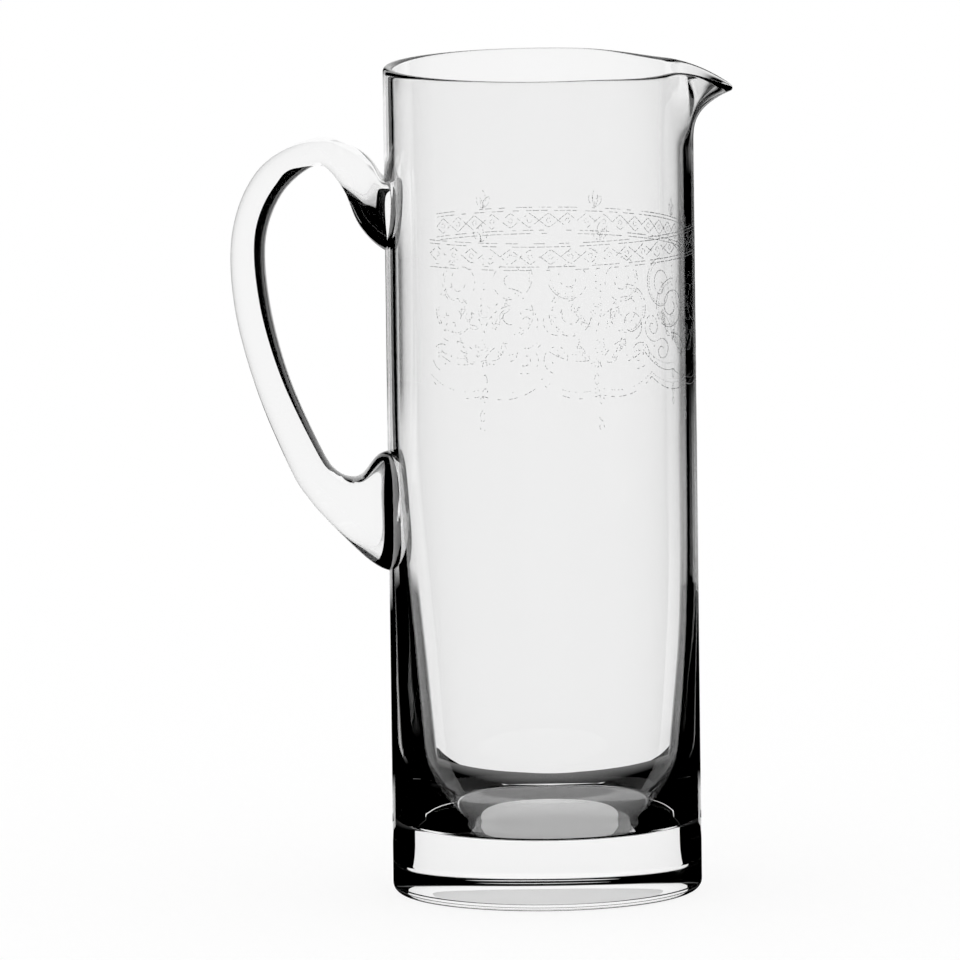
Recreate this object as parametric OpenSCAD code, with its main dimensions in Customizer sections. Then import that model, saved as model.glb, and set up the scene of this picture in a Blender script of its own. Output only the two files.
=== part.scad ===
// Glass cocktail pitcher: a mouth-blown straight vessel with a thick base and a pinched pouring lip,
// and one solid drawn handle that is fused to its wall by two swollen pads.
// Millimetres, +Z up. The origin is the centre of the flat base, the lip points along +X
// and the handle along -X.

/* [Vessel] */
// Height of the plain rim above the table
body_h = 250; // [210:5:300]
// Outer diameter of the straight wall
body_d = 93; // [84:0.2:110]
// Thickness of the wall above the gather
wall_t = 3; // [2:0.1:4]
// Thickness of the rim away from the spout
rim_t = 2.8; // [2:0.1:4]
// Thickness of the solid glass under the cavity
base_t = 20; // [8:0.5:28]
// Height up to which the wall is thickened by the gather of glass at the base
gather_h = 150; // [110:5:190]
// Extra wall thickness that the gather adds at the level of the cavity floor
gather_t = 7; // [3:0.5:9]
// Height of the bowl in which the cavity closes above its floor
bowl_h = 26; // [14:1:40]
// Depth by which the bowl draws the wall in at the level of the floor
bowl_t = 5.5; // [2:0.5:8]
// Radius of the edge between wall and underside
heel_r = 4.5; // [2:0.5:8]
// Radius of the corner between cavity wall and cavity floor
corner_r = 2; // [1:0.5:8]

/* [Pouring lip] */
// Depth of the shaped zone below the rim
lip_h = 25; // [18:1:40]
// Reach of the spout past the straight wall
spout_reach = 11.4; // [6:0.2:14]
// Dip of the rim at the tip of the spout
spout_drop = 7.6; // [3:0.1:9]
// Thickness of the glass at the tip of the spout
spout_t = 1.8; // [1.4:0.1:3]
// Half of the angle that the spout spans
spout_half_angle = 25.5; // [18:0.5:30]
// Depth of the pinch on each side of the spout
pinch_depth = 0.9; // [0.3:0.1:3]
// Dip of the rim at each pinch
pinch_dip = 0.8; // [0:0.1:1.5]
// Angle from the spout to the middle of each pinch
pinch_angle = 38; // [38:1:46]
// Half of the angle that each pinch spans
pinch_half_angle = 38; // [24:1:38]

/* [Handle] */
// Distance from the wall to the outermost face of the handle
handle_reach = 46.2; // [38:0.2:56]
// Height of the middle of the upper pad
upper_pad_z = 204.8; // [195:0.2:208]
// Height of the middle of the lower pad
lower_pad_z = 115.7; // [100:0.1:130]
// Thickness of the drawn glass at the back of the grip
handle_t = 10.6; // [8:0.2:13]
// Width of the drawn glass at the back of the grip
handle_w = 17; // [13:0.5:21]
// Height of the upper pad on the wall
upper_pad_h = 21; // [17:0.5:26]
// Width of the upper pad
upper_pad_w = 27; // [20:0.5:32]
// Height of the lower pad on the wall
lower_pad_h = 36.6; // [28:0.2:44]
// Width of the lower pad
lower_pad_w = 24; // [19:0.5:30]

/* [Hidden] */

glass_colour = [0.87, 0.9, 0.91, 0.5];

body_r = body_d / 2;
lip_z = body_h - lip_h;

// Facets round the vessel, which crowd towards the spout, and how strongly they crowd
round_count = 96;
crowding_share = 0.4;
// Facets up the lip, over the rim, down the gather, down the bowl and round each small radius
lip_count = 9;
rim_count = 5;
gather_count = 5;
bowl_count = 4;
fillet_count = 4;

// Powers that shape the curl of the spout, the fade of the pinches, the growth of the gather
// and the bowl
spout_curl_share = 3.4;
pinch_fade_share = 2;
gather_growth_share = 2;
bowl_growth_share = 2.5;
// Step from which a slope is taken, as a share of the lip or of the corner
slope_step_share = 0.001;

// Stations of the handle from the upper pad to the lower one, each with
// its distance from the wall as a share of the bow, its height above the lower pad as a share of
// the distance between the pads, its size as a share of the drawn glass,
// how far its height and then its width have swollen towards those of its pad,
// how full its flanks are, how far its widest line lies above or below the middle,
// and the direction in which the glass runs there
handle_shares = [
    [-0.2, 0.98, 1, 1.05, 1.7, 0.2, 0.6, 180],
    [0, 1, 1, 1, 0.78, 0.2, 0.6, 180],
    [0.125, 1.07, 1, 0.75, 0.34, 0.2, 0.5, 163],
    [0.185, 1.126, 1, 0.365, 0.14, 0.1, 0.3, 155],
    [0.261, 1.172, 1, 0.115, 0.04, 0, 0.1, 153],
    [0.48, 1.224, 0.79, 0, 0, 0, 0, 175],
    [0.813, 1.135, 0.94, 0, 0, 0, 0, 226],
    [0.99, 0.954, 0.97, 0, 0, 0, 0, 261],
    [0.981, 0.713, 1.01, 0, 0, 0, 0, 278],
    [0.835, 0.44, 1, 0, 0, 0, 0, 290],
    [0.595, 0.174, 1.07, 0, 0, 0, 0, 303],
    [0.465, 0.084, 1.07, 0.035, 0, 0.2, -0.1, 316],
    [0.319, 0.03, 1, 0.215, 0.09, 0.5, -0.3, 337],
    [0.218, 0.009, 1, 0.454, 0.09, 0.5, -0.3, 350],
    [0.122, 0.008, 1, 0.785, 0.26, 0.5, -0.15, 356],
    [0, 0, 1, 1, 0.77, 0.5, 0, 360],
    [-0.2, 0, 1, 1.03, 1.7, 0.5, 0, 360]
];
// Facets round the handle, and between two of its stations
section_count = 22;
station_count = 3;
// The rows before this one swell towards the upper pad, and the others towards the lower pad
lower_row = 7;
bow = handle_reach - handle_t / 2;
pad_gap = upper_pad_z - lower_pad_z;

// A smooth hump of height 1 round a centre
function bell(a, centre, half) =
    abs(a - centre) < half ? pow(cos(90 * (a - centre) / half), 2) : 0;
function spout(a) = bell(abs(a), 0, spout_half_angle);
function pinch(a) = bell(abs(a), pinch_angle, pinch_half_angle);

// The angle of each column of facets, from -180 to 180 with the spout at 0
function column(i) =
    let (even = 360 * i / round_count - 180)
    even - crowding_share * sin(even) * 180 / PI;
columns = [for (i = [0:round_count - 1]) column(i)];

// Radius and height of the outer face of the lip, with u running from 1 below the lip to 0 at the rim
function lip_t(a, u) =
    let (edge_t = rim_t + (spout_t - rim_t) * spout(a))
    edge_t + (wall_t - edge_t) * u;
function lip_face(a, u) =
    let (top = body_h - lip_t(a, 0) / 2 - spout_drop * spout(a) - pinch_dip * pinch(a))
    [
        body_r + spout_reach * spout(a) * pow(1 - u, spout_curl_share)
            - pinch_depth * pinch(a) * pow(1 - u, pinch_fade_share),
        top + (lip_z - top) * u
    ];
// Unit vector along the lip towards the rim, and the one across it into the vessel
function lip_along(a, u) =
    let (d = lip_face(a, max(u - slope_step_share, 0)) - lip_face(a, min(u + slope_step_share, 1)))
    d / norm(d);
function inward(d) = [-d.y, d.x];
function lip_inside(a, u) = lip_face(a, u) + lip_t(a, u) * inward(lip_along(a, u));
// The fire-polished rim, with b running from 0 on the outside to 180 on the inside
function rim_round(a, b) =
    let (d = lip_along(a, 0), r = lip_t(a, 0) / 2)
    lip_face(a, 0) + r * inward(d) * (1 - cos(b)) + r * d * sin(b);

// Radius of the cavity at a height, and its lean at the corner to the floor
function cavity_r(z) =
    body_r - wall_t
        - gather_t * pow(max(gather_h - z, 0) / (gather_h - base_t), gather_growth_share)
        - bowl_t * pow(max(bowl_z - z, 0) / bowl_h, bowl_growth_share);
bowl_z = base_t + bowl_h;
corner_z = base_t + corner_r;
corner_step = slope_step_share * corner_r;
corner_lean = atan((cavity_r(corner_z + corner_step) - cavity_r(corner_z)) / corner_step);
corner_centre_r = cavity_r(corner_z) - corner_r * cos(corner_lean);

// One ring of points, from a radius and a height at each column
function turned(rz, a) = [rz.x * cos(a), rz.x * sin(a), rz.y];
function plain_ring(rz) = [for (a = columns) turned(rz, a)];

function vessel_rings() = [
    for (i = [0:fillet_count])
        let (b = 90 * i / fillet_count)
        plain_ring([body_r - heel_r + heel_r * sin(b), heel_r - heel_r * cos(b)]),
    for (i = [lip_count:-1:0]) [for (a = columns) turned(lip_face(a, i / lip_count), a)],
    for (i = [1:rim_count]) [for (a = columns) turned(rim_round(a, 180 * i / (rim_count + 1)), a)],
    for (i = [0:lip_count]) [for (a = columns) turned(lip_inside(a, i / lip_count), a)],
    for (i = [0:gather_count - 1])
        let (z = gather_h + (bowl_z - gather_h) * i / gather_count)
        plain_ring([cavity_r(z), z]),
    for (i = [0:bowl_count - 1])
        let (z = bowl_z + (corner_z - bowl_z) * i / bowl_count)
        plain_ring([cavity_r(z), z]),
    for (i = [0:fillet_count])
        let (b = corner_lean + (90 - corner_lean) * i / fillet_count)
        plain_ring([corner_centre_r + corner_r * cos(b), corner_z - corner_r * sin(b)])
];

// A closed solid through rings of equal length, with flat ends
module skin(rings) {
    n = len(rings[0]);
    last = len(rings) - 1;
    polyhedron(
        points = [for (ring = rings) each ring],
        faces = [
            [for (i = [0:n - 1]) i],
            for (k = [0:last - 1], i = [0:n - 1])
                let (a = k * n + i, b = k * n + (i + 1) % n)
                each [[a, a + n, b], [b, a + n, b + n]],
            [for (i = [n - 1:-1:0]) last * n + i]
        ],
        convexity = 8
    );
}

// A smooth curve through rows of equal length, with t counting the rows
function curve(rows, t) =
    let (
        k = min(floor(t), len(rows) - 2),
        f = t - k,
        a = rows[max(k - 1, 0)],
        b = rows[k],
        c = rows[k + 1],
        d = rows[min(k + 2, len(rows) - 1)]
    )
    b + f * (c - a) / 2 + pow(f, 2) * (2 * a - 5 * b + 4 * c - d) / 2
        + pow(f, 3) * (3 * (b - c) + d - a) / 2;

// Each row is the place of the handle's middle line, half its thickness and width there,
// the fullness of its flanks, the place of its widest line and the direction in which the glass runs
handle_rows = [
    for (k = [0:len(handle_shares) - 1])
        let (
            row = handle_shares[k],
            pad_h = k < lower_row ? upper_pad_h : lower_pad_h,
            pad_w = k < lower_row ? upper_pad_w : lower_pad_w
        )
        [
            -body_r - row[0] * bow,
            lower_pad_z + row[1] * pad_gap,
            row[2] * handle_t / 2 + row[3] * (pad_h - handle_t) / 2,
            row[2] * handle_w / 2 + row[4] * (pad_w - handle_w) / 2,
            row[5],
            row[6],
            row[7]
        ]
];

// An oval ring across the handle
function handle_ring(t) =
    let (
        row = curve(handle_rows, t),
        half_t = row[2],
        half_w = row[3],
        full = row[4],
        lean = row[5],
        across = inward([cos(row[6]), sin(row[6])])
    )
    [
        for (i = [0:section_count - 1])
            let (b = 360 * i / section_count, off = half_t * (cos(b) - lean * pow(sin(b), 2)) * across)
            [row[0] + off.x, half_w * sin(b) * (1 + full * pow(cos(b), 2)), row[1] + off.y]
    ];

module vessel() {
    color(glass_colour) skin(vessel_rings());
}

// The drawn glass, cut by the wall that its pads are pressed onto
module handle() {
    color(glass_colour) difference() {
        skin([
            for (k = [0:station_count * (len(handle_rows) - 1)]) handle_ring(k / station_count)
        ]);
        linear_extrude(height = body_h)
            polygon([for (a = columns) body_r * [cos(a), sin(a)]]);
    }
}

vessel();
handle();
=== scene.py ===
import math
import random

import bpy
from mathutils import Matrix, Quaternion, Vector, geometry


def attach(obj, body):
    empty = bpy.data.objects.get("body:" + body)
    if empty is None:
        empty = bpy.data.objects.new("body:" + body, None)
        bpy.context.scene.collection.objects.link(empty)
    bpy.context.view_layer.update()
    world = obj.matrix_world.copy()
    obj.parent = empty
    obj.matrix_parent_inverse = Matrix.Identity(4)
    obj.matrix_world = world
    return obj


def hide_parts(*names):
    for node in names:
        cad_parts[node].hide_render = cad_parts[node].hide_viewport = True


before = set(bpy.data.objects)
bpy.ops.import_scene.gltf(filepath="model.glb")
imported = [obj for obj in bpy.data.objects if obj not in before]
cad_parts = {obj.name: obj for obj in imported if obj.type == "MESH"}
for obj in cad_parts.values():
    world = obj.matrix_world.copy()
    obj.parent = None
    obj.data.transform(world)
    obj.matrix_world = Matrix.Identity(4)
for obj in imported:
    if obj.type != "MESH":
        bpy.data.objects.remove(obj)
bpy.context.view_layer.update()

MM = 0.001
# A small step along a curve, and a tolerance in millimetres
SMALL = 0.001

# Sizes of the vessel, in millimetres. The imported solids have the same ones, apart from a rounder
# heel, a plain underside, a cavity on the axis and a sharper foot of the spout.
BODY_H = 250.0
BODY_R = 46.5
WALL_T = 3.0
RIM_T = 2.8
BASE_T = 20.0
HEEL_R = 3.0
CORNER_R = 2.0
# From GATHER_H down the gather thickens the wall by up to GATHER_T, and over the last BOWL_H above
# the cavity's floor the bowl thickens it by up to BOWL_T more
GATHER_H, GATHER_T, GATHER_GROWTH = 150.0, 7.0, 2.0
BOWL_H, BOWL_T, BOWL_GROWTH = 26.0, 5.5, 2.5
# The hollow that is ground into the underside
HOLLOW_R, HOLLOW_DEPTH = 23.0, 0.7
# How far the cavity's lower part lies off the axis towards the lip, and the heights between which
# it goes over to the middle
UNEVEN = 1.2
UNEVEN_Z = (65.0, 140.0)

# The pouring lip: its height, how far the spout reaches out and drops, its thickness, the angle to
# each side at which it runs out, and the powers of its curves sideways and upwards
LIP_H = 25.0
LIP_Z = BODY_H - LIP_H
SPOUT_REACH = 11.4
SPOUT_DROP = 7.6
SPOUT_T = 1.8
SPOUT_HALF = 31.6
SPOUT_POWER = 3.2
SPOUT_CURL = 3.4
# Beside the spout the rim is drawn in and down, most at PINCH_ANGLE
PINCH_DEPTH = 0.9
PINCH_DIP = 0.8
PINCH_ANGLE = 38.0
PINCH_HALF = 38.0
PINCH_FADE = 2.0

# Sizes of the handle
HANDLE_REACH = 46.2
HANDLE_T = 10.6
HANDLE_W = 17.0
UPPER_PAD_Z, UPPER_PAD_H, UPPER_PAD_W = 204.8, 21.0, 27.0
LOWER_PAD_Z, LOWER_PAD_H, LOWER_PAD_W = 115.7, 36.6, 24.0
# The handle's stations: distance from the wall and height as shares, size as a share, the swelling
# of height and of width as shares, the fullness of the flanks, how far the widest line lies off
# the middle, and the direction in which the glass runs, in degrees
STATIONS = [
    (-0.2, 0.98, 1, 1.05, 1.7, 0.2, 0.6, 180),
    (0, 1, 1, 1, 0.78, 0.2, 0.6, 180),
    (0.125, 1.07, 1, 0.75, 0.34, 0.2, 0.5, 163),
    (0.185, 1.126, 1, 0.365, 0.14, 0.1, 0.3, 155),
    (0.261, 1.172, 1, 0.115, 0.04, 0, 0.1, 153),
    (0.48, 1.224, 0.79, 0, 0, 0, 0, 175),
    (0.813, 1.135, 0.94, 0, 0, 0, 0, 226),
    (0.99, 0.954, 0.97, 0, 0, 0, 0, 261),
    (0.981, 0.713, 1.01, 0, 0, 0, 0, 278),
    (0.835, 0.44, 1, 0, 0, 0, 0, 290),
    (0.595, 0.174, 1.07, 0, 0, 0, 0, 303),
    (0.465, 0.084, 1.07, 0.035, 0, 0.2, -0.1, 316),
    (0.319, 0.03, 1, 0.215, 0.09, 0.5, -0.3, 337),
    (0.218, 0.009, 1, 0.454, 0.09, 0.5, -0.3, 350),
    (0.122, 0.008, 1, 0.785, 0.26, 0.5, -0.15, 356),
    (0, 0, 1, 1, 0.77, 0.5, 0, 360),
    (-0.2, 0, 1, 1.03, 1.7, 0.5, 0, 360),
]
# The first station that belongs to the lower pad
LOWER_ROW = 7
# How far the handle's curve is evened out near its pads, how far from the middle that begins and
# over what length it grows, in stations, and the weights of the places that it is evened out from
EVENING, EVENING_FROM, EVENING_OVER = 0.3, 2.5, 2.0
EVENING_WEIGHTS = (1, 4, 6, 4, 1)

# How finely the surfaces are divided: the vessel's columns and how much they crowd at the spout,
# its rings from the underside up and down again to the cavity's floor, and the handle's points
COLUMNS = 288
CROWDING = 0.35
HOLLOW_RINGS = 12
HEEL_RINGS = 12
WALL_RINGS = 55
LIP_RINGS = 30
RIM_RINGS = 12
CAVITY_RINGS = 100
CORNER_RINGS = 16
FLOOR_SHARES = (0.75, 0.5, 0.25)
SECTION = 96
ALONG = 240
# How far beside an edge a ring lies that keeps the face next to it flat
BESIDE = 0.3
# How often the search for a rail's end on the wall is halved
HALVINGS = 40
# The window of the wall that is cut anew round the seats: its margins beside and above them, and
# how far the wall's own points stay from the seats' outlines
MARGIN_X, MARGIN_Z = 4.0, 6.0
CLEARANCE = 1.2
# The points inside a seat: into how many steps the way to its middle is cut, and which share of
# the outline's points the outer and the inner steps take
SEAT_STEPS = 9
EVERY_OUTER, EVERY_INNER = 2, 4
# How near two points are the same one
TOUCHING = 1e-6
# Places of the materials on the vessel and the handle
GLASS_SLOT, FUSED_SLOT, GROUND_SLOT = 0, 1, 2


def cos_deg(a):
    return math.cos(math.radians(a))


def sin_deg(a):
    return math.sin(math.radians(a))


def clamp(value, low=0, high=1):
    return min(max(value, low), high)


def steps(low, high, count):
    """count + 1 even values from low to high."""
    return [low + (high - low) * i / count for i in range(count + 1)]


def inward(d):
    """The direction d turned a quarter to the left."""
    return Vector((-d.y, d.x))


def bell(a, centre, half, power=2):
    """A smooth hump of height 1 round a centre."""
    return cos_deg(90 * (a - centre) / half) ** power if abs(a - centre) < half else 0.0


def spout(a):
    return bell(abs(a), 0, SPOUT_HALF, SPOUT_POWER)


def pinch(a):
    return bell(abs(a), PINCH_ANGLE, PINCH_HALF)


def lip_t(a, u):
    """Thickness of the lip at angle a, with u from 1 below the lip to 0 at the rim."""
    edge = RIM_T + (SPOUT_T - RIM_T) * spout(a)
    return edge + (WALL_T - edge) * u


def lip_face(a, u):
    """(radius, height) of the lip's outer face."""
    top = BODY_H - lip_t(a, 0) / 2 - SPOUT_DROP * spout(a) - PINCH_DIP * pinch(a)
    reach = SPOUT_REACH * spout(a) * (1 - u) ** SPOUT_CURL
    dent = PINCH_DEPTH * pinch(a) * (1 - u) ** PINCH_FADE
    return Vector((BODY_R + reach - dent, top + (LIP_Z - top) * u))


def lip_along(a, u):
    """Unit vector along the lip towards the rim."""
    return (lip_face(a, max(u - SMALL, 0)) - lip_face(a, min(u + SMALL, 1))).normalized()


def lip_inside(a, u):
    return lip_face(a, u) + lip_t(a, u) * inward(lip_along(a, u))


def rim_round(a, b):
    """The fire-polished rim, with b from 0 on the outside to 180 on the inside."""
    d, r = lip_along(a, 0), lip_t(a, 0) / 2
    return lip_face(a, 0) + r * inward(d) * (1 - cos_deg(b)) + r * d * sin_deg(b)


def cavity_r(z):
    """Radius of the cavity at a height."""
    growth = (max(GATHER_H - z, 0) / (GATHER_H - BASE_T)) ** GATHER_GROWTH
    bowl = (max(BASE_T + BOWL_H - z, 0) / BOWL_H) ** BOWL_GROWTH
    return BODY_R - WALL_T - GATHER_T * growth - BOWL_T * bowl


def off_axis(z):
    """How far the cavity lies off the axis at a height."""
    s = clamp((UNEVEN_Z[1] - z) / (UNEVEN_Z[1] - UNEVEN_Z[0]))
    return UNEVEN * s * s * (3 - 2 * s)


def plain(r, z):
    """A ring that is the same at every angle."""
    return lambda a: Vector((r, z))


def vessel_rings():
    """The vessel's skin from the underside up the wall, over the rim and down to the cavity floor.

    Gives the rings, the numbers of those on the straight wall and the first one in the cavity."""
    shares = steps(0, 1, HOLLOW_RINGS)[1:]
    rings = [plain(HOLLOW_R * s, HOLLOW_DEPTH * (1 - s * s)) for s in shares]
    rings += [plain(HOLLOW_R + BESIDE, 0.0), plain(BODY_R - HEEL_R - BESIDE, 0.0)]
    rings += [
        plain(BODY_R - HEEL_R + HEEL_R * sin_deg(b), HEEL_R - HEEL_R * cos_deg(b))
        for b in steps(0, 90, HEEL_RINGS)
    ]
    wall_from = len(rings) - 1
    rings += [plain(BODY_R, z) for z in steps(HEEL_R, LIP_Z, WALL_RINGS)[1:-1]]
    wall = range(wall_from, len(rings))
    rings += [lambda a, u=u: lip_face(a, u) for u in steps(1, 0, LIP_RINGS)]
    rings += [lambda a, b=b: rim_round(a, b) for b in steps(0, 180, RIM_RINGS)[1:-1]]
    cavity_from = len(rings)
    rings += [lambda a, u=u: lip_inside(a, u) for u in steps(0, 1, LIP_RINGS)]
    corner_z = BASE_T + CORNER_R
    rings += [plain(cavity_r(z), z) for z in steps(LIP_Z, corner_z, CAVITY_RINGS)[1:-1]]
    slope = (cavity_r(corner_z + SMALL) - cavity_r(corner_z)) / SMALL
    lean = math.degrees(math.atan(slope))
    centre = cavity_r(corner_z) - CORNER_R * cos_deg(lean)
    rings += [
        plain(centre + CORNER_R * cos_deg(b), corner_z - CORNER_R * sin_deg(b))
        for b in steps(lean, 90, CORNER_RINGS)
    ]
    rings += [plain(centre - BESIDE, BASE_T)] + [plain(centre * s, BASE_T) for s in FLOOR_SHARES]
    return rings, wall, cavity_from


def column_angles():
    """Angles of the columns from -180 to 180, crowding towards the spout at 0."""
    even = [360 * i / COLUMNS - 180 for i in range(COLUMNS)]
    return [e - CROWDING * sin_deg(e) * 180 / math.pi for e in even]


def vessel_points(rings, cavity_from):
    """The points of the vessel's rings, one ring after the other."""
    angles = column_angles()
    points = []
    for k, ring in enumerate(rings):
        for a in angles:
            r, z = ring(a)
            shift = off_axis(z) if k >= cavity_from else 0
            points.append(Vector((r * cos_deg(a) + shift, r * sin_deg(a), z)))
    return points


def station_rows():
    """Each station as (x, z, half thickness, half width, fullness, lean, direction)."""
    bow = HANDLE_REACH - HANDLE_T / 2
    rows = []
    for k, (out, up, slim, swell, wide, full, lean, run) in enumerate(STATIONS):
        pad_h, pad_w = (UPPER_PAD_H, UPPER_PAD_W) if k < LOWER_ROW else (LOWER_PAD_H, LOWER_PAD_W)
        rows.append(
            (
                -BODY_R - out * bow,
                LOWER_PAD_Z + up * (UPPER_PAD_Z - LOWER_PAD_Z),
                slim * HANDLE_T / 2 + swell * (pad_h - HANDLE_T) / 2,
                slim * HANDLE_W / 2 + wide * (pad_w - HANDLE_W) / 2,
                full,
                lean,
                run,
            )
        )
    return rows


def curve(rows, t):
    """A smooth curve through the rows, with t counting them."""
    last = len(rows) - 1
    k = min(int(t), last - 1)
    f = t - k
    near = [rows[clamp(k + i, 0, last)] for i in (-1, 0, 1, 2)]
    found = []
    for p, q, r, s in zip(*near):
        bend, twist = 2 * p - 5 * q + 4 * r - s, 3 * (q - r) + s - p
        found.append(q + f * (r - p) / 2 + f**2 * bend / 2 + f**3 * twist / 2)
    return found


def even_curve(rows, t):
    """The curve, evened out near the pads, where its rows lie close together."""
    last = len(rows) - 1
    step = EVENING * clamp((abs(t - last / 2) - EVENING_FROM) / EVENING_OVER)
    total = [0.0] * len(rows[0])
    for k, weight in enumerate(EVENING_WEIGHTS, -(len(EVENING_WEIGHTS) // 2)):
        values = curve(rows, clamp(t + k * step, 0, last))
        total = [s + v * weight / sum(EVENING_WEIGHTS) for s, v in zip(total, values)]
    return total


def rail_point(rows, b, t):
    """The point of the handle's surface at section angle b."""
    x, z, thick, width, full, lean, run = even_curve(rows, t)
    across = inward(Vector((cos_deg(run), sin_deg(run))))
    off = across * thick * (cos_deg(b) - lean * sin_deg(b) ** 2)
    side = width * sin_deg(b) * (1 + full * cos_deg(b) ** 2)
    return Vector((x + off.x, side, z + off.y))


def seat_t(rows, b, outside, inside):
    """The t at which the rail at section angle b meets the wall."""
    for _ in range(HALVINGS):
        middle = (outside + inside) / 2
        p = rail_point(rows, b, middle)
        if math.hypot(p.x, p.y) > BODY_R:
            outside = middle
        else:
            inside = middle
    return (outside + inside) / 2


def handle_rings():
    """Rings of the handle's surface whose first and last ones lie on the vessel's wall."""
    rows = station_rows()
    last = len(rows) - 1
    middle = last / 2
    sections = [360 * i / SECTION for i in range(SECTION)]
    ends = [(seat_t(rows, b, middle, 0), seat_t(rows, b, middle, last)) for b in sections]
    rings = []
    for k in range(ALONG + 1):
        s = 2 * k / ALONG - 1
        ring = []
        for b, (upper, lower) in zip(sections, ends):
            t = middle + (middle - upper if s < 0 else lower - middle) * s
            ring.append(rail_point(rows, b, t))
        rings.append(ring)
    return rings


def unrolled(p):
    """A point of the wall laid flat, as arc length from the handle's middle and height."""
    return Vector((math.atan2(-p.y, -p.x) * BODY_R, p.z))


def rolled(q):
    """The point of the wall that lies at q when it is laid flat."""
    return Vector((-BODY_R * math.cos(q.x / BODY_R), -BODY_R * math.sin(q.x / BODY_R), q.y))


def inside_loop(q, loop):
    """True if q lies inside the closed loop of flat points."""
    found = False
    for a, b in zip(loop, loop[1:] + loop[:1]):
        if (a.y > q.y) != (b.y > q.y):
            if q.x < a.x + (q.y - a.y) / (b.y - a.y) * (b.x - a.x):
                found = not found
    return found


def seat_points(loop):
    """Points inside a seat, on smaller and sparser copies of its outline."""
    centre = sum(loop, Vector((0, 0))) / len(loop)
    points = [centre]
    for k in range(1, SEAT_STEPS):
        ring = loop[:: EVERY_OUTER if k > SEAT_STEPS / 2 else EVERY_INNER]
        points += [centre + (q - centre) * k / SEAT_STEPS for q in ring]
    return points


def seat_window(points, wall, seats):
    """The vessel's rings and columns between which both seats lie: first, last, left and right."""
    upper, lower = seats
    low = min(q.y for q in lower) - MARGIN_Z
    high = max(q.y for q in upper) + MARGIN_Z
    reach = max(abs(q.x) for q in upper + lower) + MARGIN_X
    rows = [k for k in wall if low < points[k * COLUMNS].z < high]
    first = points[rows[0] * COLUMNS : (rows[0] + 1) * COLUMNS]
    half = COLUMNS // 2
    columns = [i for i in range(-half, half) if abs(unrolled(first[i]).x) < reach]
    return rows[0], rows[-1], columns[0], columns[-1]


def loop_edges(start, count):
    """Edges of a closed loop of points that begins at start."""
    return [(start + i, start + (i + 1) % count) for i in range(count)]


def wall_with_seats(points, window, seats):
    """The window of the wall in triangles that have the seats' outlines as edges.

    Gives its points laid flat, their numbers in points or None for new ones, the places where the
    outlines begin among them, and the triangles."""
    first, last, left, right = window

    def corner(k, i):
        v = k * COLUMNS + i % COLUMNS
        return unrolled(points[v]), v

    kept = [corner(first, i) for i in range(left, right)]
    kept += [corner(k, right) for k in range(first, last)]
    kept += [corner(last, i) for i in range(right, left, -1)]
    kept += [corner(k, left) for k in range(last, first, -1)]
    edges = loop_edges(0, len(kept))
    for q, v in [corner(k, i) for k in range(first + 1, last) for i in range(left + 1, right)]:
        if min((q - p).length for seat in seats for p in seat) > CLEARANCE:
            if not any(inside_loop(q, seat) for seat in seats):
                kept.append((q, v))
    flat = [q for q, v in kept]
    numbers = [v for q, v in kept]
    starts = []
    for seat in seats:
        starts.append(len(flat))
        edges += loop_edges(len(flat), len(seat))
        flat += seat + seat_points(seat)
    numbers += [None] * (len(flat) - len(numbers))
    _, _, faces, origin, _, _ = geometry.delaunay_2d_cdt(flat, edges, [], 0, TOUCHING, True)
    return flat, numbers, starts, [[origin[v][0] for v in f] for f in faces]


def skin_faces(count, window):
    """The faces between count rings outside the window, those that close both ends, and the
    materials of them all."""
    first, last, left, right = window
    cut = {i % COLUMNS for i in range(left, right)}
    faces, slots = [], []
    for k in range(count - 1):
        low, high = k * COLUMNS, (k + 1) * COLUMNS
        for i in range(COLUMNS):
            if first <= k < last and i in cut:
                continue
            j = (i + 1) % COLUMNS
            faces.append([low + i, low + j, high + j, high + i])
            slots.append(GROUND_SLOT if k < HOLLOW_RINGS - 1 else GLASS_SLOT)
    faces.append(list(range(COLUMNS - 1, -1, -1)))
    slots.append(GROUND_SLOT)
    faces.append(list(range((count - 1) * COLUMNS, count * COLUMNS)))
    slots.append(GLASS_SLOT)
    return faces, slots


def new_mesh(name, points, faces, materials):
    mesh = bpy.data.meshes.new(name)
    mesh.from_pydata(points, [], faces)
    for m in materials:
        mesh.materials.append(m)
    mesh.update()
    obj = bpy.data.objects.new(name, mesh)
    bpy.context.scene.collection.objects.link(obj)
    return obj


def glass_mesh(name, points, faces, slots, materials):
    """A smooth piece from points in millimetres, with a material number for each face."""
    obj = new_mesh(name, [p * MM for p in points], faces, materials)
    obj.data.polygons.foreach_set("material_index", slots)
    obj.data.polygons.foreach_set("use_smooth", [True] * len(faces))
    obj.data.update()
    return obj


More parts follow.
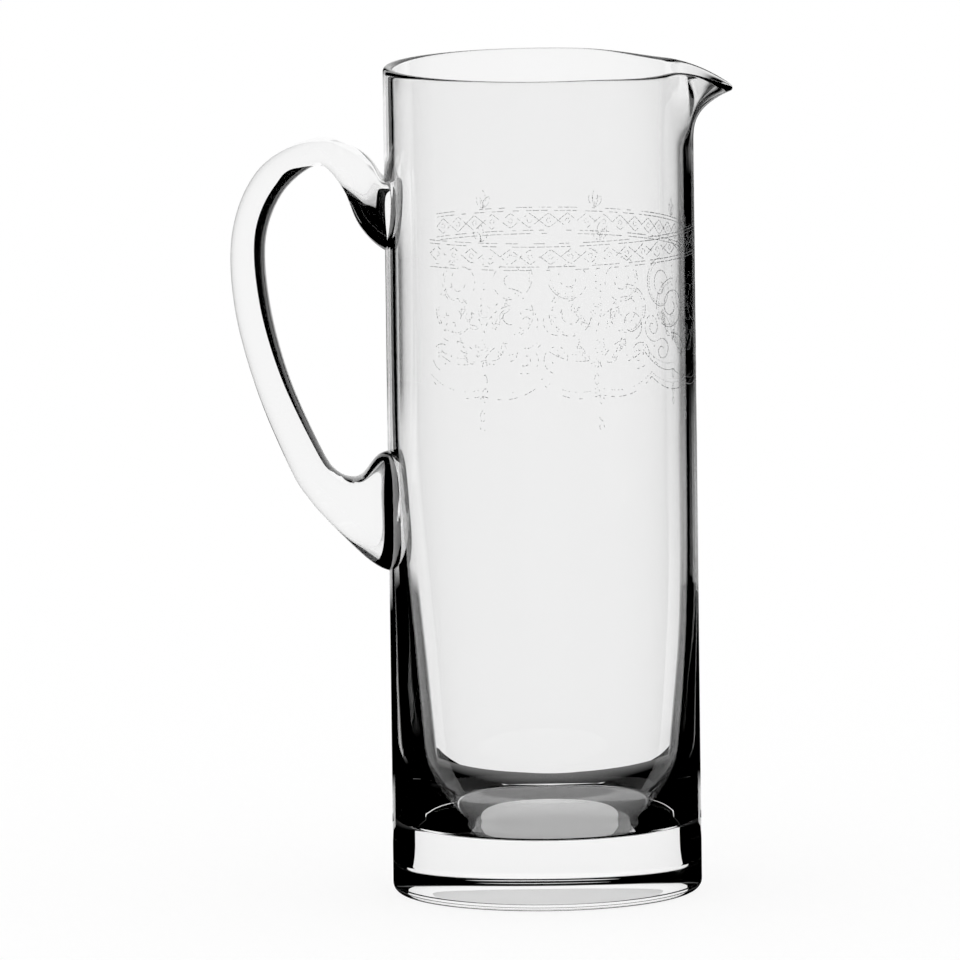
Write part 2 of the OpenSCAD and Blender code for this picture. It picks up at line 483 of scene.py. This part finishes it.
def make_glassware(glass, fused, ground):
    """The vessel and the handle, which share the faces of the two seats."""
    rings, wall, cavity_from = vessel_rings()
    points = vessel_points(rings, cavity_from)
    handle = handle_rings()
    seats = [[unrolled(p) for p in ring] for ring in (handle[0], handle[-1])]
    window = seat_window(points, wall, seats)
    flat, numbers, starts, triangles = wall_with_seats(points, window, seats)
    for k, q in enumerate(flat):
        if numbers[k] is None:
            numbers[k] = len(points)
            points.append(rolled(q))

    faces, slots = skin_faces(len(rings), window)
    seat_faces = ([], [])
    for triangle in triangles:
        face = [numbers[v] for v in triangle]
        a, b, c = (points[v] for v in face)
        middle = (a + b + c) / 3
        if (b - a).cross(c - a).dot(Vector((middle.x, middle.y, 0))) < 0:
            face.reverse()
        faces.append(face)
        slots.append(GLASS_SLOT)
        for seat, found in zip(seats, seat_faces):
            if inside_loop(unrolled(middle), seat):
                found.append(face)
                slots[-1] = FUSED_SLOT

    used = sorted({v for f in faces for v in f})
    place = {v: i for i, v in enumerate(used)}
    vessel = glass_mesh(
        "pitcher_vessel",
        [points[v] for v in used],
        [[place[v] for v in f] for f in faces],
        slots,
        [glass, fused, ground],
    )
    straighten_normals(vessel)
    outlines = [numbers[start : start + SECTION] for start in starts]
    return vessel, make_handle(handle, points, outlines, seat_faces, [glass, fused])


def make_handle(rings, points, outlines, seat_faces, materials):
    """The handle, closed at both seats by the wall's own faces, turned round."""
    grip_points = [p for ring in rings for p in ring]
    faces = []
    for k in range(ALONG):
        near, far = k * SECTION, (k + 1) * SECTION
        for i in range(SECTION):
            j = (i + 1) % SECTION
            faces.append([near + i, far + i, far + j, near + j])
    slots = [GLASS_SLOT] * len(faces)
    for start, outline, seat in zip((0, ALONG * SECTION), outlines, seat_faces):
        place = {v: start + i for i, v in enumerate(outline)}
        for face in seat:
            for v in reversed(face):
                if v not in place:
                    place[v] = len(grip_points)
                    grip_points.append(points[v])
            faces.append([place[v] for v in reversed(face)])
            slots.append(FUSED_SLOT)
    grip = glass_mesh("pitcher_handle", grip_points, faces, slots, materials)
    crease_seats(grip)
    return grip


def straighten_normals(vessel):
    """Radial normals on the straight wall, so that its uneven triangles don't show in the glass."""
    mesh = vessel.data
    normals = [v.normal.copy() for v in mesh.vertices]
    for i, v in enumerate(mesh.vertices):
        x, y, z = v.co / MM
        if abs(math.hypot(x, y) - BODY_R) < SMALL and HEEL_R < z < LIP_Z:
            normals[i] = Vector((x, y, 0)).normalized()
    mesh.normals_split_custom_set_from_vertices(normals)


def crease_seats(grip):
    """Sharp edges round the seats, where the side of a pad meets the wall."""
    mesh = grip.data
    kinds = {}
    for p in mesh.polygons:
        for key in p.edge_keys:
            kinds.setdefault(key, set()).add(p.material_index)
    for e in mesh.edges:
        if len(kinds[e.key]) > 1:
            e.use_edge_sharp = True


# The engraved band: how far it runs to each side of the lip, in degrees, its repeats, the heights
# of its parts, and the width of its strokes, how far they stand out and how deep they go
BAND_HALF = 135
REPEATS = 6
REPEAT = math.radians(2 * BAND_HALF) * BODY_R / REPEATS
BORDER_Z = (193.6, 194.6, 200.6, 201.6)
SCROLL_Z = 176.0
SWAG_Z = 161.0
STROKE_W, STROKE_RISE, STROKE_DEPTH = 0.24, 0.02, 0.05
# How many points spirals, bows and the three kinds of circle have
SPIRAL_POINTS, BOW_POINTS = 90, 24
RING_POINTS, FLOWER_POINTS, DOT_POINTS = 12, 20, 6
# Its motifs, in millimetres from the middle of a repeat and from the heights above, with angles in
# degrees. Each CUT is the length of a dash and of the gap after it.
LINE_CUT = (1.7, 0.5)
LOZENGES, LOZENGE_RISE, LOZENGE_CUT = 6, 2.3, (0.9, 0.35)
RING_R, RING_CUT = 0.7, (0.3, 0.25)
# The crest's leaves, as (direction, length), and how far above the border they stand
CREST = ((90, 5.4), (58, 4.0), (122, 4.0))
CREST_Z, CREST_BELLY, CREST_CUT = 0.4, 0.9, (0.5, 0.25)
# Scrolls, as (x, z, first radius, last radius, first angle, turns, cut)
SCROLLS = (
    (8.6, 4.0, 8.2, 1.2, 90, -1.9, (0.8, 0.3)),
    (8.6, 4.0, 7.1, 5.6, 90, -0.55, (0.3, 0.5)),
    (13.4, -9.0, 4.6, 0.8, 250, 1.6, (0.7, 0.3)),
)
# The stem from the middle to a scroll, and the leaves along it: the first one's foot and angle from
# the upright, and how both change from each leaf to the next
STEM_Z, STEM_END, STEM_SAG, STEM_CUT = -12.0, (8.6, -4.2), 2.0, (0.8, 0.3)
LEAVES, LEAF_L, LEAF_BELLY, LEAF_CUT = 5, 3.2, 0.6, (0.35, 0.3)
LEAF_FOOT, LEAF_STEP = (2.2, -10.6), (1.5, 1.1)
LEAF_LEAN, LEAF_TURN = 75, 24
# Swags, as (drop at a repeat's ends, drop in its middle, sag, cut)
SWAGS = ((0.0, 3.4, 2.4, (0.3, 0.7)), (1.4, 5.4, 2.6, (0.9, 0.4)))
# Lengths of the leaves that hang below the swags, and where the first one hangs
DROPS, DROP_Z, DROP_STEP, DROP_BELLY, DROP_CUT = (2.6, 3.6, 2.2), 5.6, 4.2, 0.8, (0.5, 0.25)
DOWNWARDS = 270
# The flower's rings and the row of dots above it
FLOWER, FLOWER_Z, FLOWER_CUT = (1.1, 2.0), -5.5, (0.25, 0.3)
DOTS, DOT_R, DOT_Z, DOT_STEP, DOT_CUT = 7, 0.22, 1.2, 1.9, (0.4, 0.05)
# How unevenly it is cut: the range of a dash, of a gap and of a stroke's width as shares, and the
# shortest dash
DASH_RANGE, GAP_RANGE, WIDTH_RANGE = (0.6, 1.3), (0.6, 1.5), (0.7, 1.2)
SHORTEST = 0.1
# Where the band begins to thin out and over what angle that grows, in radians from the lip, the
# share of strokes it takes from the border and from the rest, and how much it thins the others.
# This is painted shade: the band stays full and dark near the lip, where it looks darker against
# the light behind the glass, and grows fainter away from it.
PAINTED_FADE_FROM, PAINTED_FADE_OVER = 0.6, 0.5
LOST_BORDER, LOST_BELOW, THINNED = 0.35, 0.6, 0.35
CHANCE_SEED = 4
# Corners of a stroke's faces, the first four of which lie in the glass
STROKE_FACES = (
    (3, 2, 1, 0), (4, 5, 6, 7), (0, 1, 5, 4), (1, 2, 6, 5), (2, 3, 7, 6), (3, 0, 4, 7),
)


def spiral(centre, first, last, start, turns, count=SPIRAL_POINTS):
    """Points of a spiral whose radius goes from first to last."""
    points = []
    for s in steps(0, 1, count):
        r, a = first + (last - first) * s, start + 360 * turns * s
        points.append(Vector((centre[0] + r * cos_deg(a), centre[1] + r * sin_deg(a))))
    return points


def circle(centre, r, count):
    return spiral(centre, r, r, 0, 1, count)


def arc_between(a, b, sag):
    """Points of a bow from a to b whose middle lies sag beside the straight line."""
    a, b = Vector(a), Vector(b)
    across = inward((b - a).normalized())
    shares = steps(0, 1, BOW_POINTS)
    return [a.lerp(b, s) + across * (4 * sag * s * (1 - s)) for s in shares]


def leaf(foot, length, direction, belly):
    """Outline of a pointed leaf."""
    tip = (foot[0] + length * cos_deg(direction), foot[1] + length * sin_deg(direction))
    return arc_between(foot, tip, belly) + arc_between(tip, foot, belly)


def border_strokes():
    """Four lines, with lozenges between them that hold small rings."""
    half, z = REPEAT / 2, (BORDER_Z[0] + BORDER_Z[-1]) / 2
    strokes = [([Vector((-half, line)), Vector((half, line))], LINE_CUT) for line in BORDER_Z]
    wide = REPEAT / (2 * LOZENGES)
    for k in range(LOZENGES):
        x = -half + wide * (2 * k + 1)
        rim = [(x - wide, z), (x, z + LOZENGE_RISE), (x + wide, z), (x, z - LOZENGE_RISE)]
        strokes.append(([Vector(p) for p in rim + rim[:1]], LOZENGE_CUT))
        strokes.append((circle((x, z), RING_R, RING_POINTS), RING_CUT))
    return strokes


def crest_strokes():
    """The leaves that stand on the border."""
    foot = (0, BORDER_Z[-1] + CREST_Z)
    return [(leaf(foot, length, way, CREST_BELLY), CREST_CUT) for way, length in CREST]


def scroll_strokes(side):
    """The scrolls on one side of a repeat's middle, with their stem and its leaves."""
    strokes = [
        (spiral((side * x, SCROLL_Z + z), first, last, start, side * turns), cut)
        for x, z, first, last, start, turns, cut in SCROLLS
    ]
    end = (side * STEM_END[0], SCROLL_Z + STEM_END[1])
    strokes.append((arc_between((0, SCROLL_Z + STEM_Z), end, side * STEM_SAG), STEM_CUT))
    for k in range(LEAVES):
        x = side * (LEAF_FOOT[0] + LEAF_STEP[0] * k)
        z = SCROLL_Z + LEAF_FOOT[1] + LEAF_STEP[1] * k
        way = 90 - side * (LEAF_LEAN - LEAF_TURN * k)
        strokes.append((leaf((x, z), LEAF_L, way, LEAF_BELLY), LEAF_CUT))
    return strokes


def swag_strokes(side):
    """The swags on one side of a repeat's middle."""
    x = side * REPEAT / 2
    return [
        (arc_between((x, SWAG_Z - end), (0, SWAG_Z - middle), side * sag), cut)
        for end, middle, sag, cut in SWAGS
    ]


def middle_strokes():
    """The hanging leaves, the flower and the dots in the middle of a repeat."""
    strokes = []
    for k, length in enumerate(DROPS):
        foot = (0, SWAG_Z - DROP_Z - DROP_STEP * k)
        strokes.append((leaf(foot, length, DOWNWARDS, DROP_BELLY), DROP_CUT))
    for r in FLOWER:
        strokes.append((circle((0, SCROLL_Z + FLOWER_Z), r, FLOWER_POINTS), FLOWER_CUT))
    for k in range(DOTS):
        dot = (0, SCROLL_Z + DOT_Z + DOT_STEP * k)
        strokes.append((circle(dot, DOT_R, DOT_POINTS), DOT_CUT))
    return strokes


def repeat_strokes():
    """One repeat of the band, as (points, (length of a dash, gap after it))."""
    strokes = border_strokes() + crest_strokes()
    for side in (-1, 1):
        strokes += scroll_strokes(side) + swag_strokes(side)
    return strokes + middle_strokes()


def dashes(points, dash, gap, chance):
    """The broken line that a hand cuts along the points, as (start, end) pairs."""
    lengths = [0.0]
    for a, b in zip(points, points[1:]):
        lengths.append(lengths[-1] + (b - a).length)

    def at(s):
        k = max(i for i, start in enumerate(lengths[:-1]) if start <= s)
        share = (s - lengths[k]) / max(lengths[k + 1] - lengths[k], TOUCHING)
        return points[k].lerp(points[k + 1], min(share, 1))

    found, s = [], 0.0
    while s < lengths[-1] - SHORTEST:
        end = min(s + dash * chance.uniform(*DASH_RANGE), lengths[-1])
        found.append((at(s), at(end)))
        s = end + gap * chance.uniform(*GAP_RANGE)
    return found


def make_engraving(material):
    """The cut strokes of the band, each a shallow matt bar let into the outside of the wall.

    They thin out in places far from the lip: painted shade, as the band looks darker near it."""
    chance = random.Random(CHANCE_SEED)
    points, faces = [], []
    for k in range(REPEATS):
        shift = Vector((REPEAT * (k + 0.5 - REPEATS / 2), 0))
        for line, cut in repeat_strokes():
            for a, b in dashes(line, *cut, chance):
                # Painted shade: the strokes grow fewer and thinner the farther they lie from the
                # lip
                painted_fade = clamp((abs(a.x + shift.x) / BODY_R - PAINTED_FADE_FROM) / PAINTED_FADE_OVER)
                lost = LOST_BORDER if a.y > BORDER_Z[0] - SMALL else LOST_BELOW
                if chance.random() < painted_fade * lost:
                    continue
                width = STROKE_W * (1 - THINNED * painted_fade) * chance.uniform(*WIDTH_RANGE)
                side = inward((b - a).normalized()) * width / 2
                first = len(points)
                for r in (BODY_R - STROKE_DEPTH, BODY_R + STROKE_RISE):
                    for q in (a - side, b - side, b + side, a + side):
                        turn = (q.x + shift.x) / BODY_R
                        points.append(Vector((r * math.cos(turn), r * math.sin(turn), q.y)))
                faces += [[first + v for v in f] for f in STROKE_FACES]
    return glass_mesh("pitcher_engraving", points, faces, [GLASS_SLOT] * len(faces), [material])


GLASS_IOR = 1.5
CLEAR_COLOUR = (1, 1, 1, 1)
# The share of light that goes through the glass on its way to the table
PASSED = 0.95
# Colour, roughness and transmission of the matt places. The engraved places' grey is painted
# shade, for the dim look of frosted glass that scatters the dark round it.
ENGRAVED = ((0.62, 0.63, 0.63, 1), 0.5, 0.9)
GROUND = ((0.995, 0.997, 0.996, 1), 0.35, 0.6)
# The waves in the glass: how many there are to a metre along each axis, and how deep they are
WAVE_SCALE = (60.0, 60.0, 14.0)
WAVE_STRENGTH, WAVE_DEPTH = 1.0, 0.00004


def new_material(name):
    material = bpy.data.materials.new(name)
    material.use_nodes = True
    nodes = material.node_tree.nodes
    nodes.clear()
    return material, nodes, material.node_tree.links, nodes.new("ShaderNodeOutputMaterial")


def glass_shader(nodes, colour, roughness, transmission):
    shader = nodes.new("ShaderNodeBsdfPrincipled")
    shader.inputs["Base Color"].default_value = colour
    shader.inputs["Roughness"].default_value = roughness
    shader.inputs["IOR"].default_value = GLASS_IOR
    shader.inputs["Transmission Weight"].default_value = transmission
    return shader


def waviness(nodes, links, shader):
    """The faint upright waves that blowing and drawing leave in the glass."""
    place = nodes.new("ShaderNodeTexCoord")
    stretch = nodes.new("ShaderNodeMapping")
    stretch.inputs["Scale"].default_value = WAVE_SCALE
    wave = nodes.new("ShaderNodeTexNoise")
    wave.inputs["Scale"].default_value = 1.0
    wave.inputs["Detail"].default_value = 1.0
    bump = nodes.new("ShaderNodeBump")
    bump.inputs["Strength"].default_value = WAVE_STRENGTH
    bump.inputs["Distance"].default_value = WAVE_DEPTH
    links.new(place.outputs["Object"], stretch.inputs["Vector"])
    links.new(stretch.outputs["Vector"], wave.inputs["Vector"])
    links.new(wave.outputs["Fac"], bump.inputs["Height"])
    links.new(bump.outputs["Normal"], shader.inputs["Normal"])


def glass_material():
    """Clear fire-polished glass.

    The table's light and its shadows go straight through it, because a render without caustics
    would leave the table under the glass dark."""
    material, nodes, links, out = new_material("clear_glass")
    shader = glass_shader(nodes, CLEAR_COLOUR, 0.0, 1.0)
    waviness(nodes, links, shader)
    lit = nodes.new("ShaderNodeBsdfTransparent")
    lit.inputs["Color"].default_value = (PASSED, PASSED, PASSED, 1)
    path = nodes.new("ShaderNodeLightPath")
    either = nodes.new("ShaderNodeMath")
    either.operation = "MAXIMUM"
    mix = nodes.new("ShaderNodeMixShader")
    links.new(path.outputs["Is Shadow Ray"], either.inputs[0])
    links.new(path.outputs["Is Diffuse Ray"], either.inputs[1])
    links.new(either.outputs["Value"], mix.inputs["Fac"])
    links.new(shader.outputs["BSDF"], mix.inputs[1])
    links.new(lit.outputs["BSDF"], mix.inputs[2])
    links.new(mix.outputs["Shader"], out.inputs["Surface"])
    return material


def matt_material(name, look):
    """Glass roughened by the engraver's wheel, or ground where the blowing iron was taken off."""
    material, nodes, links, out = new_material(name)
    shader = glass_shader(nodes, *look)
    links.new(shader.outputs["BSDF"], out.inputs["Surface"])
    return material


def fused_material():
    """Where two hot pieces have become one glass: light goes straight through."""
    material, nodes, links, out = new_material("fused_glass")
    shader = nodes.new("ShaderNodeBsdfTransparent")
    links.new(shader.outputs["BSDF"], out.inputs["Surface"])
    return material


# The photograph's camera: its distance in metres, its height angle and roll in degrees, and in
# millimetres the size of a pixel at the pitcher and the place that it looks at. Then its frame in
# pixels, its sensor in millimetres and how far it sees in metres.
CAMERA_DISTANCE = 6.2
CAMERA_ELEVATION = 7.65
CAMERA_ROLL = 0.74
PIXEL = 0.3006
TARGET = Vector((-18.85, 0, 124.6))
FRAME_PIXELS = 960
SENSOR_WIDTH = 36
CLIP_END = 100


def make_camera():
    data = bpy.data.cameras.new("camera")
    data.sensor_width = SENSOR_WIDTH
    data.lens = data.sensor_width * CAMERA_DISTANCE / (FRAME_PIXELS * PIXEL * MM)
    data.clip_end = CLIP_END
    camera = bpy.data.objects.new("camera", data)
    back = Vector((0, -cos_deg(CAMERA_ELEVATION), sin_deg(CAMERA_ELEVATION)))
    camera.rotation_mode = "QUATERNION"
    camera.location = TARGET * MM + back * CAMERA_DISTANCE
    turn = (-back).to_track_quat("-Z", "Y")
    camera.rotation_quaternion = turn @ Quaternion((0, 0, 1), math.radians(-CAMERA_ROLL))
    bpy.context.scene.collection.objects.link(camera)
    bpy.context.scene.camera = camera
    return camera


# The table and, just above it, the black cards that lie on it, seen only in the glass: a dark
# table with painted shade under and round the glass. From here on in metres.
TABLE_HALF = 60.0
TABLE_Z = -0.05 * MM
CARD_Z = -0.02 * MM
# The dark tent round the glass, which only reflections and refracted light see. It is open behind
# the object as the camera sees it.
TENT_HALF = 0.40
TENT_TOP = 0.60
OPENING_Y = 0.12
OPENING_TOP = 0.40
# One edge of the opening, as (x, z) going up, and the table's lit wedge that leads to it, as (x, y)
OPENING_EDGE = [(0.100, 0), (0.100, 0.06), (0.100, 0.10)]
WEDGE = [(0.0, 0.0515), (0.0364, 0.0855), (0.075, 0.12)]
# The grey strip that lies above the wedge close behind the glass. It glows with a painted
# reflection: a glossy table's sheen, which falls off towards the glass.
STRIP_X, STRIP_Y, STRIP_Z = (-0.06, 0.06), (0.0468, 0.063), 0.014
STRIP_GREY = 0.19
# The cards just behind each side of the wall, which glow and fade from white to black as painted
# light, the soft edge of the light behind the glass: their distance behind the axis, their grey as
# (x, grey), and each card as (inner x, outer x, [(z, how much it covers)])
FADE_Y = 0.035
FADE_GREYS = [
    (0.040, 1.0), (0.0434, 0.90), (0.0474, 0.85), (0.0490, 0.76), (0.0500, 0.6), (0.0525, 0.0),
]
FADE_CARDS = [
    (-0.050, -0.075, [(0.024, 0), (0.030, 1), (0.080, 1), (0.088, 0)]),
    (0.050, 0.075, [(0.024, 0), (0.030, 1), (0.085, 1), (0.150, 0)]),
    (-0.040, -0.056, [(0.135, 0), (0.150, 1), (0.188, 1), (0.200, 0)]),
    (-0.040, -0.056, [(0.236, 0), (0.246, 1), (0.262, 1)]),
    (0.040, 0.056, [(0.085, 0), (0.150, 1), (0.262, 1)]),
    (0.056, 0.075, [(0.085, 0), (0.150, 1), (0.212, 1), (0.240, 0)]),
]


def stage_mesh(name, points, faces, material):
    obj = new_mesh(name, points, faces, [material])
    return obj


def make_floor():
    material, nodes, links, out = new_material("white_table")
    shader = nodes.new("ShaderNodeBsdfDiffuse")
    shader.inputs["Color"].default_value = (1, 1, 1, 1)
    links.new(shader.outputs["BSDF"], out.inputs["Surface"])
    corners = ((-1, -1), (1, -1), (1, 1), (-1, 1))
    points = [(x * TABLE_HALF, y * TABLE_HALF, TABLE_Z) for x, y in corners]
    stage_mesh("table", points, [(0, 1, 2, 3)], material)


def seen_material(name, build):
    """The material of a card, through which light goes that the table has scattered."""
    material, nodes, links, out = new_material(name)
    clear = nodes.new("ShaderNodeBsdfTransparent")
    path = nodes.new("ShaderNodeLightPath")
    mix = nodes.new("ShaderNodeMixShader")
    links.new(path.outputs["Diffuse Depth"], mix.inputs["Fac"])
    links.new(build(nodes, links), mix.inputs[1])
    links.new(clear.outputs["BSDF"], mix.inputs[2])
    links.new(mix.outputs["Shader"], out.inputs["Surface"])
    return material


def place_along(nodes, links, axis):
    """The place on a card along one of its axes."""
    place = nodes.new("ShaderNodeTexCoord")
    split = nodes.new("ShaderNodeSeparateXYZ")
    links.new(place.outputs["Object"], split.inputs["Vector"])
    return split.outputs[axis]


def rise(nodes, links, value, low, high, top=1.0):
    """Goes from 0 to top while value goes from low to high."""
    fade = nodes.new("ShaderNodeMapRange")
    fade.inputs["From Min"].default_value = low
    fade.inputs["From Max"].default_value = high
    fade.inputs["To Max"].default_value = top
    links.new(value, fade.inputs["Value"])
    return fade.outputs["Result"]


def black_card(nodes, links):
    card = nodes.new("ShaderNodeEmission")
    card.inputs["Color"].default_value = (0, 0, 0, 1)
    return card.outputs["Emission"]


def painted_reflection_strip(nodes, links):
    """Glowing grey card that falls off to black towards the glass: a painted reflection."""
    card = nodes.new("ShaderNodeEmission")
    grey = rise(nodes, links, place_along(nodes, links, "Y"), *STRIP_Y, STRIP_GREY)
    links.new(grey, card.inputs["Color"])
    return card.outputs["Emission"]


def fading_card(nodes, links):
    """Card that glows from white to black away from the middle, as painted light, and covers as
    its points say.
    """
    side = nodes.new("ShaderNodeMath")
    side.operation = "ABSOLUTE"
    links.new(place_along(nodes, links, "X"), side.inputs[0])
    low, high = FADE_GREYS[0][0], FADE_GREYS[-1][0]
    greys = nodes.new("ShaderNodeValToRGB")
    stops = greys.color_ramp.elements
    while len(stops) < len(FADE_GREYS):
        stops.new(0.5)
    for stop, (x, grey) in zip(stops, FADE_GREYS):
        stop.position = (x - low) / (high - low)
        stop.color = (grey, grey, grey, 1)
    card = nodes.new("ShaderNodeEmission")
    clear = nodes.new("ShaderNodeBsdfTransparent")
    cover = nodes.new("ShaderNodeAttribute")
    cover.attribute_name = "cover"
    mix = nodes.new("ShaderNodeMixShader")
    links.new(rise(nodes, links, side.outputs["Value"], low, high), greys.inputs["Fac"])
    links.new(greys.outputs["Color"], card.inputs["Color"])
    links.new(cover.outputs["Fac"], mix.inputs["Fac"])
    links.new(clear.outputs["BSDF"], mix.inputs[1])
    links.new(card.outputs["Emission"], mix.inputs[2])
    return mix.outputs["Shader"]


def turn_with(camera, obj):
    """The studio's cards stand with the camera when it goes round the object, and only reflections
    and refracted light see them."""
    follow = obj.constraints.new("COPY_ROTATION")
    follow.target = camera
    follow.use_x = follow.use_y = False
    obj.visible_camera = False
    obj.visible_diffuse = False
    obj.visible_shadow = False


def make_tent():
    """Black cards at both sides, in front, above and on the table; the one on the table is a dark
    table with painted shade under and round the glass.
    """
    h, top, back, roof = TENT_HALF, TENT_TOP, OPENING_Y, OPENING_TOP
    points = [
        (-h, -h, 0), (h, -h, 0), (h, -h, top), (-h, -h, top),
        (-h, back, 0), (h, back, 0), (h, back, top), (-h, back, top),
    ]
    faces = [(0, 1, 2, 3), (0, 4, 7, 3), (1, 5, 6, 2), (3, 2, 6, 7)]

    def add(corners):
        first = len(points)
        points.extend(corners)
        faces.append(tuple(range(first, len(points))))

    for side in (-1, 1):
        edge = [(side * x, back, z) for x, z in OPENING_EDGE]
        over = OPENING_EDGE[-1][0] * side
        add([(side * h, back, 0)] + edge + [(over, back, roof), (side * h, back, roof)])
        # The card on the table is a dark table with painted shade under and round the glass; the
        # lit wedge stays open
        wedge = [(side * x, y, CARD_Z) for x, y in WEDGE]
        add([(0, -h, CARD_Z)] + wedge + [(side * h, back, CARD_Z), (side * h, -h, CARD_Z)])
    add([(-h, back, roof), (h, back, roof), (h, back, top), (-h, back, top)])
    return stage_mesh("black_cards", points, faces, seen_material("black_card", black_card))


def make_strip():
    """The grey strip behind the base, which glows with a painted reflection."""
    (x0, x1), (y0, y1) = STRIP_X, STRIP_Y
    points = [(x0, y0, STRIP_Z), (x1, y0, STRIP_Z), (x1, y1, STRIP_Z), (x0, y1, STRIP_Z)]
    return stage_mesh(
        "painted_reflection_strip", points, [(0, 1, 2, 3)], seen_material("painted_reflection_strip", painted_reflection_strip)
    )


def make_fading_cards():
    points, faces, covers = [], [], []
    for x0, x1, column in FADE_CARDS:
        for k, (z, cover) in enumerate(column):
            if k:
                v = len(points)
                faces.append((v - 2, v - 1, v + 1, v))
            points += [(x0, FADE_Y, z), (x1, FADE_Y, z)]
            covers += [cover, cover]
    cards = stage_mesh("fading_cards", points, faces, seen_material("fading_card", fading_card))
    cards.data.attributes.new("cover", "FLOAT", "POINT").data.foreach_set("value", covers)
    return cards


def make_world():
    world = bpy.data.worlds.new("studio")
    bpy.context.scene.world = world
    world.use_nodes = True
    back = world.node_tree.nodes["Background"]
    back.inputs["Color"].default_value = (1, 1, 1, 1)
    back.inputs["Strength"].default_value = 1.0


bpy.context.scene.view_settings.view_transform = "Standard"
camera = make_camera()
vessel, grip = make_glassware(
    glass_material(), fused_material(), matt_material("ground_glass", GROUND)
)
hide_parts("vessel")
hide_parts("handle")
engraving = make_engraving(matt_material("engraved_glass", ENGRAVED))
for piece in (vessel, grip, engraving):
    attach(piece, "root")
make_floor()
for cards in (make_tent(), make_strip(), make_fading_cards()):
    turn_with(camera, cards)
make_world()
